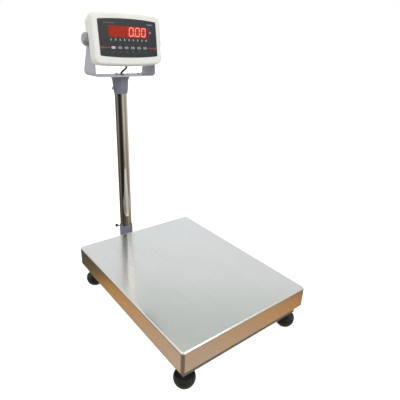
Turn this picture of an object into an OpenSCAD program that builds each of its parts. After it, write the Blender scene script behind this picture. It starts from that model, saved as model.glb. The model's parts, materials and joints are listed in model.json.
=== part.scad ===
// Bench scale for small animals: a stainless pan on a single-point load cell,
// with a column at the back that carries a tilting indicator head.
// Origin: centre of the pan's top face. +Z is up, +Y points at the column.

/* [Weighing pan] */
// Width of the pan, side to side
pan_width = 390; // [340:5:450]
// Depth of the pan, front to back
pan_depth = 520; // [440:5:600]
// Height of the folded skirt
pan_skirt = 54; // [50:1:60]
// Thickness of the stainless sheet
pan_sheet = 1.5; // [1:0.5:2]
// Outside radius of the pan's vertical corners
pan_corner = 9; // [5:1:10]

/* [Frames and feet] */
// Gap between the pan's outline and the base frame
base_inset = 14; // [12:1:18]
// Width and height of the base frame's square tube
base_tube = 30; // [30:1:32]
// Gap between the pan's outline and the platform frame
top_inset = 30; // [28:1:34]
// Width and height of the platform frame's square tube
top_tube = 25; // [22:1:25]
// Wall of both square tubes
tube_wall = 2; // [1.5:0.5:2.5]
// Greatest diameter of a rubber foot
foot_d = 50; // [46:1:52]
// Height of a foot's rubber, without its stem
foot_h = 29; // [27:1:31]

/* [Column] */
// Distance from the pan's rear edge to the column's axis
column_offset = 80; // [74:1:90]
// Outside diameter of the column
column_d = 38; // [36:1:38]
// Height of the cap's top above the pan
column_top = 472; // [380:2:560]
// Outside diameter of the socket that holds the column
socket_d = 43; // [43:0.5:46]
// Direction of the clamp screw, anticlockwise from +X
clamp_angle = 135; // [100:5:170]

/* [Indicator bracket] */
// Outside width of the U bracket
bracket_width = 190; // [190:1:194]
// Width of the bracket's steel strip, front to back
bracket_depth = 74; // [70:1:76]
// Thickness of the bracket's steel
bracket_sheet = 3; // [2.5:0.5:3]
// Height of the tilt axis above the cap's top
pivot_rise = 95; // [92:1:105]
// Distance of the tilt axis in front of the column's axis
pivot_forward = 17; // [14:1:20]

/* [Indicator head] */
// Backward lean of the head at rest, in degrees
head_lean = 7; // [2:1:20]
// Width of the front shell's face
face_width = 204; // [200:1:206]
// Height of the front shell's face at its corners
face_height = 121; // [118:1:126]
// Bow of the face's top and bottom edges
face_bow = 4.5; // [3:0.5:6]
// Depth of the front shell
front_depth = 24; // [22:1:25]
// Depth of the rear shell
rear_depth = 50; // [46:1:54]
// Width of the black keypad overlay
overlay_width = 174; // [170:1:176]
// Height of the overlay at its corners
overlay_height = 89; // [86:1:90]
// Height of one display digit's module
digit_height = 26; // [24:1:26]
// Width of one display digit's module
digit_pitch = 19; // [18.5:0.5:19]

/* [Hidden] */
$fn = 64;

// Gaps: faces that only touch, running fits on a radius, and drop-in panels
touch = 0.05;
running = 0.05;
panel_gap = 0.15;
eps = 0.5; // overrun of a cutting shape

// Heights of the platform's layers, all below the pan's top face
bumper_h = 3.5;
top_frame_z = -pan_sheet - bumper_h;
base_z = -pan_skirt - 26;
floor_z = base_z - 40;
plate_t = 6;
spacer_t = 3;
cell_size = [40, 150, 40];
cell_z = base_z + 17;
lower_plate_z = cell_z - spacer_t - plate_t;
upper_plate_z = cell_z + cell_size.z + spacer_t;
overload_gap = 0.6;

// Cell bolts, M8, in line along the cell
bolt_r = 4;
cell_bolt_y = [38, 63];
cell_bolt_grip = 13;

// Feet, M10, on the base tube's centreline
foot_x = pan_width / 2 - base_inset - base_tube / 2;
foot_y = pan_depth / 2 - base_inset - base_tube / 2;
stem_r = 5;
foot_sole = 8;
lock_nut_h = 6;
foot_corners = [[-1, -1], [1, -1], [-1, 1], [1, 1]];

// Column and socket
column_y = pan_depth / 2 + column_offset;
column_r = column_d / 2;
column_wall = 1.5;
flange_t = 4;
socket_top = -13;
socket_floor = base_z + 4;
rear_rail_y = pan_depth / 2 - base_inset;
arm_width = 60;
arm_top = base_z + base_tube - 8;
cable_r = 2.8;
cable_x = 12;
cable_z = base_z + 22; // where it leaves the cell
arm_cable_z = (base_z + arm_top) / 2;
vial_y = column_y - 54;
clamp_z = socket_top - 7;
clamp_r = 3;
clamp_ball_r = 5.5;
clamp_reach = 33;

// Bracket and tilt axis
cap_collar_r = 26;
cap_height = 50;
plate_z = column_top;
pivot_y = column_y - pivot_forward;
pivot_z = column_top + pivot_rise;
arm_end_r = 14;
bend_r = 12;
stud_r = 3;
grommet_at = [6, 4];
grommet_r = 6.5;

// Head, in its own frame: origin on the tilt axis, face towards -Y
head_mid_z = -2.5;
face_y = -44;
split_y = face_y + front_depth;
gasket_t = 1;
rear_y = split_y + gasket_t;
shell_wall = 3;
rear_size = [180, 116];
face_flare = [6, 5]; // growth of the front shell's outline at its back
front_edge_r = 5;
screw_x = 78;
screw_z = 46;
overlay_t = 1;
overlay_size = [overlay_width, overlay_height];
overlay_z = head_mid_z + 3;
window_size = [118, 28];
window_z = 17;
key_size = [12.5, 7.5];
key_pitch = 19.3;
key_z = -23.5;
key_count = 6;
gland_at = [16, 15];
gland_r = 6;
jack_at = [1, 15];
jack_r = 4;
washer_t = 1;
boss_t = 1;
knob_r = 17;
knob_length = 16;
post_x = 64; // pillars of the front shell that carry the display board
post_z = 39;
board_t = 1.6;
display_board_y = face_y + 8.6;
main_board_y = face_y + 27;

steel = "#a9abb5";
stainless = "#cdd0ce";
zinc = "#b9bcc0";
ivory = "#e8ebe4";
black = "#1d1f20";

// ---------- shared shapes ----------

// Rectangle with true round corners
module rounded_rect(size, r) {
    square([size.x - 2 * r, size.y], center = true);
    square([size.x, size.y - 2 * r], center = true);
    for (sx = [-1, 1], sy = [-1, 1])
        translate([sx * (size.x / 2 - r), sy * (size.y / 2 - r)]) circle(r = r);
}

// Upright slab between two heights
module slab(size, z0, z1, r = 0) {
    translate([0, 0, z0])
        linear_extrude(z1 - z0)
            if (r > 0) rounded_rect(size, r); else square(size, center = true);
}

// Upright cylinder between two heights
module post(r, z0, z1) {
    translate([0, 0, z0]) cylinder(r = r, h = z1 - z0);
}

// Cylinder along +X between two places
module bar_x(r, x0, x1) {
    translate([x0, 0, 0]) rotate([0, 90, 0]) cylinder(r = r, h = x1 - x0);
}

// Cylinder along +Y between two places
module bar_y(r, y0, y1) {
    translate([0, y0, 0]) rotate([-90, 0, 0]) cylinder(r = r, h = y1 - y0);
}

// Hexagon bar between two heights, given across its flats
module hex_bar(flats, z0, z1) {
    translate([0, 0, z0]) cylinder(d = flats / cos(30), h = z1 - z0, $fn = 6);
}

// Closed frame of square tube, hollow, with drain holes in its underside
module tube_frame(outer, tube, z0) {
    drain_r = 3;
    inner = outer - [2 * tube, 2 * tube];
    w2 = [2 * tube_wall, 2 * tube_wall];
    difference() {
        slab(outer, z0, z0 + tube);
        slab(inner, z0 - eps, z0 + tube + eps);
        difference() {
            slab(outer - w2, z0 + tube_wall, z0 + tube - tube_wall);
            slab(inner + w2, z0, z0 + tube);
        }
        for (s = [-1, 1]) {
            translate([s * (outer.x - tube) / 2, 0, 0]) post(drain_r, z0 - eps, z0 + tube / 2);
            translate([0, s * (outer.y - tube) / 2, 0]) post(drain_r, z0 - eps, z0 + tube / 2);
        }
    }
}

module at_cell_bolts(side) {
    for (y = cell_bolt_y) translate([0, side * y, 0]) children();
}

// Outline of the head's face: straight sides, bowed top and bottom, round corners
module bowed_outline(size, bow, r) {
    arc_r = bow / 2 + size.x * size.x / (8 * bow);
    offset(r = r, $fn = 32) offset(delta = -r)
        intersection() {
            square([size.x, size.y + 2 * bow], center = true);
            translate([0, size.y / 2 + bow - arc_r]) circle(r = arc_r, $fn = 240);
            translate([0, arc_r - size.y / 2 - bow]) circle(r = arc_r, $fn = 240);
        }
}

// Stadium outline, longer along X
module stadium(size) {
    square([size.x - size.y, size.y], center = true);
    for (s = [-1, 1]) translate([s * (size.x - size.y) / 2, 0]) circle(d = size.y);
}

// A flat shape drawn in X and Z, filling from y0 to y1
module wall_y(y0, y1) {
    translate([0, y1, 0]) rotate([90, 0, 0]) linear_extrude(y1 - y0) children();
}

// Places a piece of the head, drawn in the head's own frame
module in_head() {
    translate([0, pivot_y, pivot_z]) rotate([-head_lean, 0, 0]) children();
}

module at_head_screws() {
    for (sx = [-1, 1], sz = [-1, 1])
        translate([sx * screw_x, 0, head_mid_z + sz * screw_z]) children();
}

// ---------- platform ----------

// Stainless tray with a hem folded inside its skirt
module weighing_pan() {
    hem_h = 10;
    size = [pan_width, pan_depth];
    sheet2 = 2 * [pan_sheet, pan_sheet];
    color(stainless)
    difference() {
        slab(size, -pan_skirt, 0, pan_corner);
        slab(size - sheet2, -pan_skirt + hem_h, -pan_sheet, pan_corner - pan_sheet);
        slab(size - 2 * sheet2, -pan_skirt - eps, -pan_skirt + hem_h + eps);
    }
}

// Four rubber discs that the pan rests on
module pan_bumpers() {
    color(black)
    for (c = foot_corners)
        translate([c.x * (pan_width - 2 * top_inset - top_tube) / 2,
                   c.y * (pan_depth - 2 * top_inset - top_tube) / 2, 0])
            post(12.5, top_frame_z, -pan_sheet);
}

// Welded platform frame with the plate that bolts to the cell's free end
module top_frame() {
    outer = [pan_width - 2 * top_inset, pan_depth - 2 * top_inset];
    plate = [outer.x - 2 * top_tube + 2, 140];
    color(steel)
    difference() {
        union() {
            tube_frame(outer, top_tube, top_frame_z - top_tube);
            translate([0, -15, 0]) slab(plate, upper_plate_z, upper_plate_z + plate_t);
        }
        at_cell_bolts(-1) post(bolt_r + 0.5, upper_plate_z - eps, upper_plate_z + plate_t + eps);
    }
}

module upper_cell_bolts() {
    head = upper_plate_z + plate_t;
    color(zinc)
    at_cell_bolts(-1) {
        hex_bar(13, head, head + 5.3);
        post(bolt_r, cell_z + cell_size.z - cell_bolt_grip, head + 1);
    }
}

module cell_spacer(side, z0) {
    length = 40;
    difference() {
        translate([0, side * (cell_size.y - length) / 2, 0])
            slab([cell_size.x, length], z0, z0 + spacer_t);
        at_cell_bolts(side) post(bolt_r + 0.5, z0 - eps, z0 + spacer_t + eps);
    }
}

module upper_cell_spacer() {
    color(zinc) cell_spacer(-1, cell_z + cell_size.z);
}

module lower_cell_spacer() {
    color(zinc) cell_spacer(1, cell_z - spacer_t);
}

// Aluminium single-point cell: a twin-bore window leaves four thin bending sections
module load_cell() {
    window_r = 11;
    window_y = 15;
    bore_depth = cell_bolt_grip + 3;
    mid_z = cell_z + cell_size.z / 2;
    color("#c4c7c8")
    difference() {
        slab([cell_size.x, cell_size.y], cell_z, cell_z + cell_size.z);
        for (s = [-1, 1])
            translate([0, s * window_y, mid_z]) bar_x(window_r, -cell_size.x, cell_size.x);
        translate([0, 0, mid_z]) cube([2 * cell_size.x, 2 * window_y, 8], center = true);
        at_cell_bolts(-1)
            post(bolt_r + touch, cell_z + cell_size.z - bore_depth, cell_z + cell_size.z + eps);
        at_cell_bolts(1) post(bolt_r + touch, cell_z - eps, cell_z + bore_depth);
        translate([cable_x, 0, cable_z])
            bar_y(cable_r + running, cell_size.y / 2 - 8, cell_size.y / 2 + eps);
    }
}

module lower_cell_bolts() {
    color(zinc)
    at_cell_bolts(1) {
        hex_bar(13, lower_plate_z - 5.3, lower_plate_z);
        post(bolt_r, lower_plate_z - 1, cell_z + cell_bolt_grip);
    }
}

module at_overload_stops() {
    for (c = foot_corners)
        translate([c.x * (pan_width / 2 - 37), c.y * (pan_depth / 2 - 90), 0]) children();
}

// Welded base frame: foot bosses in its corners and the cell's fixed plate
module base_frame() {
    outer = [pan_width - 2 * base_inset, pan_depth - 2 * base_inset];
    plate = [outer.x - 2 * base_tube + 2, 140];
    boss_r = 11;
    top = base_z + base_tube;
    color(steel)
    difference() {
        union() {
            tube_frame(outer, base_tube, base_z);
            translate([0, 15, 0]) slab(plate, lower_plate_z, lower_plate_z + plate_t);
            for (c = foot_corners)
                translate([c.x * foot_x, c.y * foot_y, 0]) post(boss_r, base_z + 1, top - 1);
        }
        for (c = foot_corners)
            translate([c.x * foot_x, c.y * foot_y, 0]) post(stem_r + running, base_z - eps, top + eps);
        at_cell_bolts(1) post(bolt_r + 0.5, lower_plate_z - eps, lower_plate_z + plate_t + eps);
        at_overload_stops() post(bolt_r + running, top - tube_wall - eps, top + eps);
        translate([cable_x, 0, arm_cable_z])
            bar_y(5, rear_rail_y - base_tube - eps, rear_rail_y + eps);
        at_bracket_bolts() bar_y(bolt_r + running, rear_rail_y - tube_wall - eps, rear_rail_y + eps);
    }
}

// Stop screws that catch the platform frame just before the cell is overloaded
module overload_stops() {
    tip = top_frame_z - top_tube - overload_gap;
    color(zinc)
    at_overload_stops() {
        hex_bar(13, tip - 5.3, tip);
        post(bolt_r, base_z + base_tube - 14, tip - 1);
    }
}

module overload_nuts() {
    seat = base_z + base_tube;
    color(zinc)
    at_overload_stops()
    difference() {
        hex_bar(13, seat, seat + 6.5);
        post(bolt_r + touch, seat - eps, seat + 6.5 + eps);
    }
}

module foot_lock_nuts() {
    color(zinc)
    for (c = foot_corners)
        translate([c.x * foot_x, c.y * foot_y, 0])
            difference() {
                hex_bar(17, base_z - lock_nut_h, base_z);
                post(stem_r + running, base_z - lock_nut_h - eps, base_z + eps);
            }
}

// Threaded stem of a levelling foot
module foot_stem(corner) {
    color(zinc)
    translate([corner.x * foot_x, corner.y * foot_y, 0])
        post(stem_r, floor_z + foot_sole, base_z + base_tube - 4);
}

// Rubber foot: a ball cut flat at its base and at its top
module foot_pad(corner) {
    ball_r = foot_d / 2;
    base_r = 0.65 * ball_r;
    ball_z = sqrt(ball_r * ball_r - base_r * base_r);
    color(black)
    translate([corner.x * foot_x, corner.y * foot_y, floor_z])
        difference() {
            rotate_extrude()
                intersection() {
                    translate([0, ball_z]) circle(r = ball_r);
                    square([ball_r + 1, foot_h]);
                }
            post(stem_r + running, foot_sole - touch, foot_h + eps);
        }
}

// ---------- level vial and cell cable ----------

// Cup of the spirit level, on top of the arm
module level_vial_cup() {
    color(black)
    translate([0, vial_y, 0])
        difference() {
            post(11, arm_top, arm_top + 9);
            post(9, arm_top + 2, arm_top + 9 + eps);
        }
}

module level_vial_glass() {
    color("#9fd08a")
    translate([0, vial_y, 0]) post(9 - panel_gap, arm_top + 2, arm_top + 8.5);
}

// Point on a smooth S-bend between two points, for t from 0 to 1
function s_bend(a, b, lead, t) =
    let (u = 1 - t)
    u * u * u * a + 3 * u * u * t * (a + lead) + 3 * u * t * t * (b - lead) + t * t * t * b;

module cable_bend(a, b, lead, steps) {
    for (i = [0 : steps - 1])
        hull() {
            translate(s_bend(a, b, lead, i / steps)) sphere(r = cable_r, $fn = 16);
            translate(s_bend(a, b, lead, (i + 1) / steps)) sphere(r = cable_r, $fn = 16);
        }
}

// Cable from the cell down to the rear rail, along the arm and up inside the column
module load_cell_cable() {
    elbow_r = 12;
    bend_from = [cable_x, cell_size.y / 2 + 15, cable_z];
    bend_to = [cable_x, rear_rail_y - base_tube - 20, arm_cable_z];
    color(black) {
        translate([cable_x, 0, cable_z]) bar_y(cable_r, cell_size.y / 2 - 7, bend_from.y);
        cable_bend(bend_from, bend_to, [0, 30, 0], 6);
        translate([cable_x, 0, arm_cable_z]) bar_y(cable_r, bend_to.y, column_y - elbow_r);
        translate([cable_x, column_y - elbow_r, arm_cable_z + elbow_r])
            rotate([90, 0, 90])
                rotate([0, 0, -90])
                    rotate_extrude(angle = 90) translate([elbow_r, 0]) circle(r = cable_r);
        translate([cable_x, column_y, 0]) post(cable_r, arm_cable_z + elbow_r, column_top - 12);
    }
}

// ---------- column ----------

module at_bracket_bolts() {
    for (s = [-1, 1]) translate([s * 40, 0, base_z + base_tube / 2]) children();
}

module at_clamp() {
    translate([0, column_y, clamp_z]) rotate([0, 0, clamp_angle]) children();
}

// Welded bracket: mounting plate, box arm and the socket for the column
module column_bracket() {
    flange_width = 100;
    arm_length = column_offset + base_inset;
    arm_h = arm_top - base_z;
    color("#8f8e9d")
    difference() {
        union() {
            translate([-flange_width / 2, rear_rail_y, base_z])
                cube([flange_width, flange_t, base_tube]);
            difference() {
                translate([-arm_width / 2, rear_rail_y + 1, base_z])
                    cube([arm_width, arm_length - 10, arm_h]);
                translate([-arm_width / 2 + tube_wall, rear_rail_y + flange_t, base_z + tube_wall])
                    cube([arm_width - 2 * tube_wall,
                          arm_length - flange_t - socket_d / 2 - 2,
                          arm_h - 2 * tube_wall]);
            }
            translate([0, column_y, 0]) post(socket_d / 2, base_z, socket_top);
        }
        translate([0, column_y, 0]) post(column_r + 2 * running, socket_floor, socket_top + eps);
        translate([0, column_y, 0]) post(4, base_z - eps, socket_floor + eps);
        translate([cable_x, 0, arm_cable_z]) bar_y(4, rear_rail_y - eps, column_y);
        at_bracket_bolts() bar_y(bolt_r + 0.5, rear_rail_y - eps, rear_rail_y + flange_t + eps);
        at_clamp() bar_x(clamp_r + running, column_r, socket_d);
    }
}

module column_bracket_bolts() {
    seat = rear_rail_y + flange_t;
    color(zinc)
    at_bracket_bolts() {
        translate([0, seat, 0]) rotate([-90, 0, 0]) hex_bar(13, 0, 5.3);
        bar_y(bolt_r, rear_rail_y - 14, seat + 1);
    }
}

module clamp_stud() {
    color(zinc) at_clamp() bar_x(clamp_r, column_r + touch, clamp_reach + 2);
}

module clamp_ball() {
    color(black)
    at_clamp()
    difference() {
        translate([clamp_reach, 0, 0]) sphere(r = clamp_ball_r);
        bar_x(clamp_r + running, clamp_reach - clamp_ball_r - 1, clamp_reach + 2.5);
    }
}

// Chromed tube, slotted at its foot for the cell cable
module column_tube() {
    slot_w = 14;
    tube_top = column_top - 2;
    color("#b8b2a4")
    translate([0, column_y, 0])
    difference() {
        post(column_r, socket_floor, tube_top);
        post(column_r - column_wall, socket_floor - eps, tube_top + eps);
        translate([cable_x - slot_w / 2, -column_d, socket_floor - eps])
            cube([slot_w, column_d, arm_cable_z - socket_floor + 8]);
    }
}

module at_cap_screw() {
    translate([0, column_y, column_top - cap_height + 15]) rotate([0, 0, 180]) children();
}

module at_bracket_screws() {
    for (a = [90, 210, 330])
        translate([0, column_y, 0]) rotate([0, 0, a]) translate([22.3, 0, 0]) children();
}

// Cap that closes the column and turns on it: cone, tapered body and collar
module column_cap() {
    collar_h = 9;
    body_r = 24;
    waist_r = 22;
    waist_h = 15;
    color("#74788a")
    difference() {
        translate([0, column_y, column_top - cap_height])
            rotate_extrude()
                polygon([
                    [column_r + 2 * running, 0],
                    [column_r + 1, 0],
                    [waist_r, waist_h],
                    [body_r, cap_height - collar_h],
                    [cap_collar_r, cap_height - collar_h + 1],
                    [cap_collar_r, cap_height],
                    [0, cap_height],
                    [0, cap_height - 2 + touch],
                    [column_r + 2 * running, cap_height - 2 + touch]
                ]);
        translate([grommet_at.x, column_y + grommet_at.y, 0])
            post(grommet_r, column_top - 3, column_top + eps);
        at_cap_screw() bar_x(2.5 + touch, column_r, cap_collar_r);
        at_bracket_screws() post(2 + touch, column_top - 8.2, column_top + eps);
    }
}

// Set screw that grips the tube through the cap
module cap_screw() {
    color(zinc)
    at_cap_screw() {
        bar_x(2.5, column_r + touch, 24);
        bar_x(4, 23.5, 27);
    }
}

// ---------- indicator bracket ----------

// Side outline of the bracket: a wide foot that narrows to the round pivot end
module bracket_side() {
    front = column_y - 5 - bracket_depth / 2;
    back = front + bracket_depth;
    foot_h = 16;
    polygon([
        [front, plate_z - 1],
        [back, plate_z - 1],
        [back, plate_z + foot_h],
        [pivot_y + arm_end_r, pivot_z],
        [pivot_y - arm_end_r, pivot_z],
        [front, plate_z + foot_h]
    ]);
    translate([pivot_y, pivot_z]) circle(r = arm_end_r);
}

// U outline of the bracket's strip, seen from the front
module bracket_strip() {
    height = pivot_rise + arm_end_r + bend_r + 1;
    difference() {
        translate([0, plate_z + height / 2]) rounded_rect([bracket_width, height], bend_r);
        translate([0, plate_z + bracket_sheet + height / 2])
            rounded_rect([bracket_width - 2 * bracket_sheet, height], bend_r - bracket_sheet);
        translate([-bracket_width, plate_z + height - bend_r]) square([2 * bracket_width, bend_r + 1]);
    }
}

module head_bracket() {
    color(steel)
    difference() {
        intersection() {
            wall_y(column_y - bracket_depth, column_y + bracket_depth) bracket_strip();
            translate([-bracket_width, 0, 0])
                rotate([90, 0, 90]) linear_extrude(2 * bracket_width) bracket_side();
        }
        translate([0, pivot_y, pivot_z]) bar_x(stud_r + 0.25, -bracket_width, bracket_width);
        translate([grommet_at.x, column_y + grommet_at.y, 0])
            post(grommet_r, plate_z - eps, plate_z + 5);
        at_bracket_screws() post(2.25, plate_z - eps, plate_z + 5);
        at_earth_screw() post(2.25, plate_z - eps, plate_z + 5);
    }
}

module at_earth_screw() {
    translate([bracket_width / 2 - 25, column_y + 18, 0]) children();
}

// Three screws into the cap, and the earth screw with its nut
module bracket_screws() {
    top = plate_z + bracket_sheet;
    color(zinc) {
        at_bracket_screws() {
            post(3.6, top, top + 2.4);
            post(2, column_top - 8, top + 1);
        }
        at_earth_screw() {
            post(3.6, top, top + 2.4);
            post(2, plate_z - 4, top + 1);
            hex_bar(7, plate_z - 3.2, plate_z);
        }
    }
}

module cable_grommet() {
    top = plate_z + bracket_sheet;
    color(black)
    translate([grommet_at.x, column_y + grommet_at.y, 0])
        difference() {
            union() {
                post(grommet_r + 2, top, top + 1.5);
                post(grommet_r - 0.1, column_top - 2 + touch, top + 1);
            }
            post(cable_r + 0.3, column_top - 3, top + 2);
        }
}

// Cable that comes up through the grommet and bends to the gland under the head
module indicator_cable() {
    drop = 72.5; // from the tilt axis down to the gland's mouth
    foot = [grommet_at.x, column_y + grommet_at.y, plate_z + bracket_sheet + 3];
    mouth = [gland_at.x,
             pivot_y + gland_at.y * cos(head_lean) - drop * sin(head_lean),
             pivot_z - gland_at.y * sin(head_lean) - drop * cos(head_lean)];
    color(black) {
        translate([foot.x, foot.y, 0]) post(cable_r, column_top - 8, foot.z);
        cable_bend(foot, mouth, [0, 0, (mouth.z - foot.z) / 2], 10);
    }
}

// Rubber washers between the bracket's arms and the rear shell
module pivot_washers() {
    inner = bracket_width / 2 - bracket_sheet;
    color(black)
    translate([0, pivot_y, pivot_z])
        for (s = [0, 180])
            rotate([0, 0, s])
                difference() {
                    bar_x(12, inner - washer_t, inner);
                    bar_x(stud_r + 0.25, inner - 2, inner + eps);
                }
}

// Fluted thumb knob on the end of its stud
module tilt_knob(side) {
    seat = bracket_width / 2 + touch;
    flutes = 10;
    color("#8b9490")
    in_head()
    rotate([0, 0, side > 0 ? 0 : 180])
    difference() {
        union() {
            bar_x(10, seat, seat + 3.5);
            bar_x(knob_r, seat + 3, seat + knob_length - 3);
            bar_x(knob_r - 2.5, seat + 3, seat + knob_length);
        }
        bar_x(stud_r + running, seat - eps, seat + 11);
        for (i = [0 : flutes - 1])
            rotate([i * 360 / flutes, 0, 0])
                translate([0, 0, knob_r + 1.5]) bar_x(3, seat + 3 - eps, seat + knob_length + eps);
    }
}

module knob_stud(side) {
    seat = bracket_width / 2;
    color(zinc)
    in_head()
    rotate([0, 0, side > 0 ? 0 : 180]) bar_x(stud_r, seat - 18, seat + 10.5);
}

// ---------- indicator head ----------

// Solid front shell: bowed face with a rounded edge, flaring towards the back
module front_block(inset, y0) {
    thin = 0.02;
    face = [face_width - 2 * inset, face_height - 2 * inset];
    corner = 14 - inset;
    translate([0, 0, head_mid_z])
        hull() {
            for (a = [0 : 22.5 : 90])
                wall_y(y0 + front_edge_r * (1 - cos(a)), y0 + front_edge_r * (1 - cos(a)) + thin)
                    offset(delta = -front_edge_r * (1 - sin(a))) bowed_outline(face, face_bow, corner);
            wall_y(split_y - thin, split_y) bowed_outline(face + face_flare, face_bow, corner + 2);
        }
}

module key_positions() {
    for (i = [0 : key_count - 1])
        translate([(i - (key_count - 1) / 2) * key_pitch, 0, key_z]) children();
}

// Bezel with a recess for the overlay, openings for display and keys, and an inner frame
module front_shell() {
    skin = 2.5;
    frame_inner = rear_size - [10, 10];
    cavity_y = face_y + 3;
    color(ivory)
    in_head()
    difference() {
        union() {
            difference() {
                front_block(0, face_y);
                difference() {
                    front_block(skin, face_y + 5);
                    translate([0, 0, head_mid_z])
                        wall_y(face_y, split_y + 1) rounded_rect(rear_size, 10);
                }
                translate([0, 0, head_mid_z]) {
                    wall_y(split_y - 0.1, split_y + 1)
                        difference() {
                            offset(delta = -skin)
                                bowed_outline([face_width, face_height] + face_flare, face_bow, 16);
                            rounded_rect(rear_size, 10);
                        }
                    wall_y(cavity_y, split_y + 1) rounded_rect(frame_inner, 6);
                }
            }
            at_head_screws() bar_y(4.5, cavity_y - 1, split_y);
            for (sx = [-1, 1], sz = [-1, 1])
                translate([sx * post_x, 0, head_mid_z + sz * post_z])
                    bar_y(3.5, cavity_y - 1, display_board_y);
        }
        translate([0, 0, overlay_z])
            wall_y(face_y - 1, face_y + overlay_t)
                bowed_outline(overlay_size + 2 * [panel_gap, panel_gap], face_bow - 0.5, 3);
        translate([0, 0, window_z])
            wall_y(face_y, cavity_y + 1) square(window_size - [3, 1], center = true);
        translate([0, 0, key_z])
            wall_y(face_y, cavity_y + 1) square([key_count * key_pitch + 2, key_size.y + 3], center = true);
        at_head_screws() bar_y(2 + touch, face_y + 5, split_y + 1);
    }
}

// Solid of the rear shell: round corners all the way, round edges at the back
module rear_block(inset, y0, y1) {
    size = rear_size - 2 * [inset, inset];
    corner = 10 - inset;
    edge_r = 6;
    reach = 2 * (y1 - y0);
    translate([0, 0, head_mid_z])
        intersection() {
            wall_y(y0, y1) rounded_rect(size, corner);
            translate([0, y1 - reach / 2, -size.y]) linear_extrude(2 * size.y)
                rounded_rect([size.x, reach], edge_r);
            translate([-size.x, y1 - reach / 2, 0]) rotate([90, 0, 90]) linear_extrude(2 * size.x)
                rounded_rect([reach, size.y], edge_r);
        }
}

// Rear cup with screw bosses, pivot bosses and holes for the gland and the jack
module rear_shell() {
    boss_y1 = rear_y + rear_depth - 2;
    bottom = head_mid_z - rear_size.y / 2;
    side = rear_size.x / 2;
    color(ivory)
    in_head()
    difference() {
        union() {
            difference() {
                rear_block(0, rear_y, rear_y + rear_depth);
                rear_block(shell_wall, rear_y - 1, rear_y + rear_depth - shell_wall);
            }
            at_head_screws() bar_y(4.5, rear_y, boss_y1);
            for (s = [0, 180]) rotate([0, 0, s]) {
                bar_x(10, side - 16, side - 1);
                bar_x(13, side - 1, side + boss_t);
            }
        }
        at_head_screws() {
            bar_y(2 + touch, rear_y - 1, rear_y + rear_depth + 1);
            bar_y(4, boss_y1 - 4, rear_y + rear_depth + 1);
        }
        for (s = [0, 180]) rotate([0, 0, s]) {
            bar_x(5 + touch, side - 16 - eps, side - 4);
            bar_x(stud_r + 0.25, side - 17, side + 2);
        }
        translate([gland_at.x, gland_at.y, 0]) post(gland_r, bottom - 1, bottom + shell_wall + 1);
        translate([jack_at.x, jack_at.y, 0]) post(jack_r, bottom - 1, bottom + shell_wall + 1);
    }
}

module shell_gasket() {
    color(black)
    in_head()
    translate([0, 0, head_mid_z])
        wall_y(split_y, rear_y)
            difference() {
                rounded_rect(rear_size, 10);
                rounded_rect(rear_size - [9, 9], 6);
            }
}

module shell_screws() {
    seat = rear_y + rear_depth - 6;
    color(zinc)
    in_head()
    at_head_screws() {
        bar_y(2, face_y + 6, seat + 1);
        bar_y(3.6, seat, seat + 2.4);
    }
}

// Brass inserts that the knob studs screw into
module pivot_inserts() {
    side = rear_size.x / 2;
    color("#c8a24a")
    in_head()
    for (s = [0, 180])
        rotate([0, 0, s])
            difference() {
                bar_x(5, side - 16, side - 4 - touch);
                bar_x(stud_r + running, side - 17, side);
            }
}

// Printed membrane with cut-outs for the window and the keys
module keypad_overlay() {
    color("#2c3238")
    in_head()
    difference() {
        translate([0, 0, overlay_z])
            wall_y(face_y + touch, face_y + overlay_t)
                bowed_outline(overlay_size, face_bow - 0.5, 3);
        translate([0, 0, window_z])
            wall_y(face_y - 1, face_y + 2) square(window_size + 2 * [panel_gap, panel_gap], center = true);
        key_positions() wall_y(face_y - 1, face_y + 2) stadium(key_size + 2 * [panel_gap, panel_gap]);
    }
}

module display_window() {
    color("#a8402c")
    in_head()
    translate([0, 0, window_z])
        wall_y(face_y + touch, face_y + overlay_t) square(window_size, center = true);
}

// Six seven-segment modules side by side
module led_digits() {
    front = face_y + overlay_t + 0.1;
    color("#5a1410")
    in_head()
    for (i = [0 : 5])
        translate([(i - 2.5) * digit_pitch, 0, window_z])
            wall_y(front, display_board_y) square([digit_pitch - 0.2, digit_height], center = true);
}

// Circuit board behind the face, with one key switch behind each key
module display_board() {
    color("#1f6b3a")
    in_head() {
        translate([0, 0, head_mid_z])
            wall_y(display_board_y, display_board_y + board_t) square([140, 88], center = true);
        key_positions() bar_y(3, face_y + 2.4, display_board_y + 1);
    }
}

// Pillars that hold the two boards apart
module board_standoffs() {
    color("white")
    in_head()
    for (sx = [-1, 1], sz = [-1, 1])
        translate([sx * 55, 0, head_mid_z + sz * 34])
            bar_y(3, display_board_y + board_t, main_board_y);
}

// Block on the back of the main board: place of its centre, size and height
module board_block(place, size, height) {
    translate([place.x, 0, head_mid_z + place.y])
        wall_y(main_board_y + 1, main_board_y + board_t + height) square(size, center = true);
}

// Main board with its converter, regulator, plug and relay blocks
module main_board() {
    color("#1f6b3a")
    in_head() {
        translate([0, 0, head_mid_z])
            wall_y(main_board_y, main_board_y + board_t) square([120, 84], center = true);
        board_block([-40, -22], [18, 12], 7);
        board_block([-8, -26], [12, 12], 4);
        board_block([30, -24], [24, 8], 7);
        board_block([42, 4], [14, 26], 5);
    }
}

// Sealed rechargeable battery against the rear wall, with its two tabs
module battery() {
    size = [134, 30, 50];
    tab = [6, 5];
    front = rear_y + rear_depth - shell_wall - size.y;
    color("#303236")
    in_head()
    translate([0, 0, 19]) {
        wall_y(front, front + size.y) square([size.x, size.z], center = true);
        for (s = [-1, 1])
            translate([s * 56, 0, 16]) wall_y(front - 4, front + 1) square(tab, center = true);
    }
}

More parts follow.
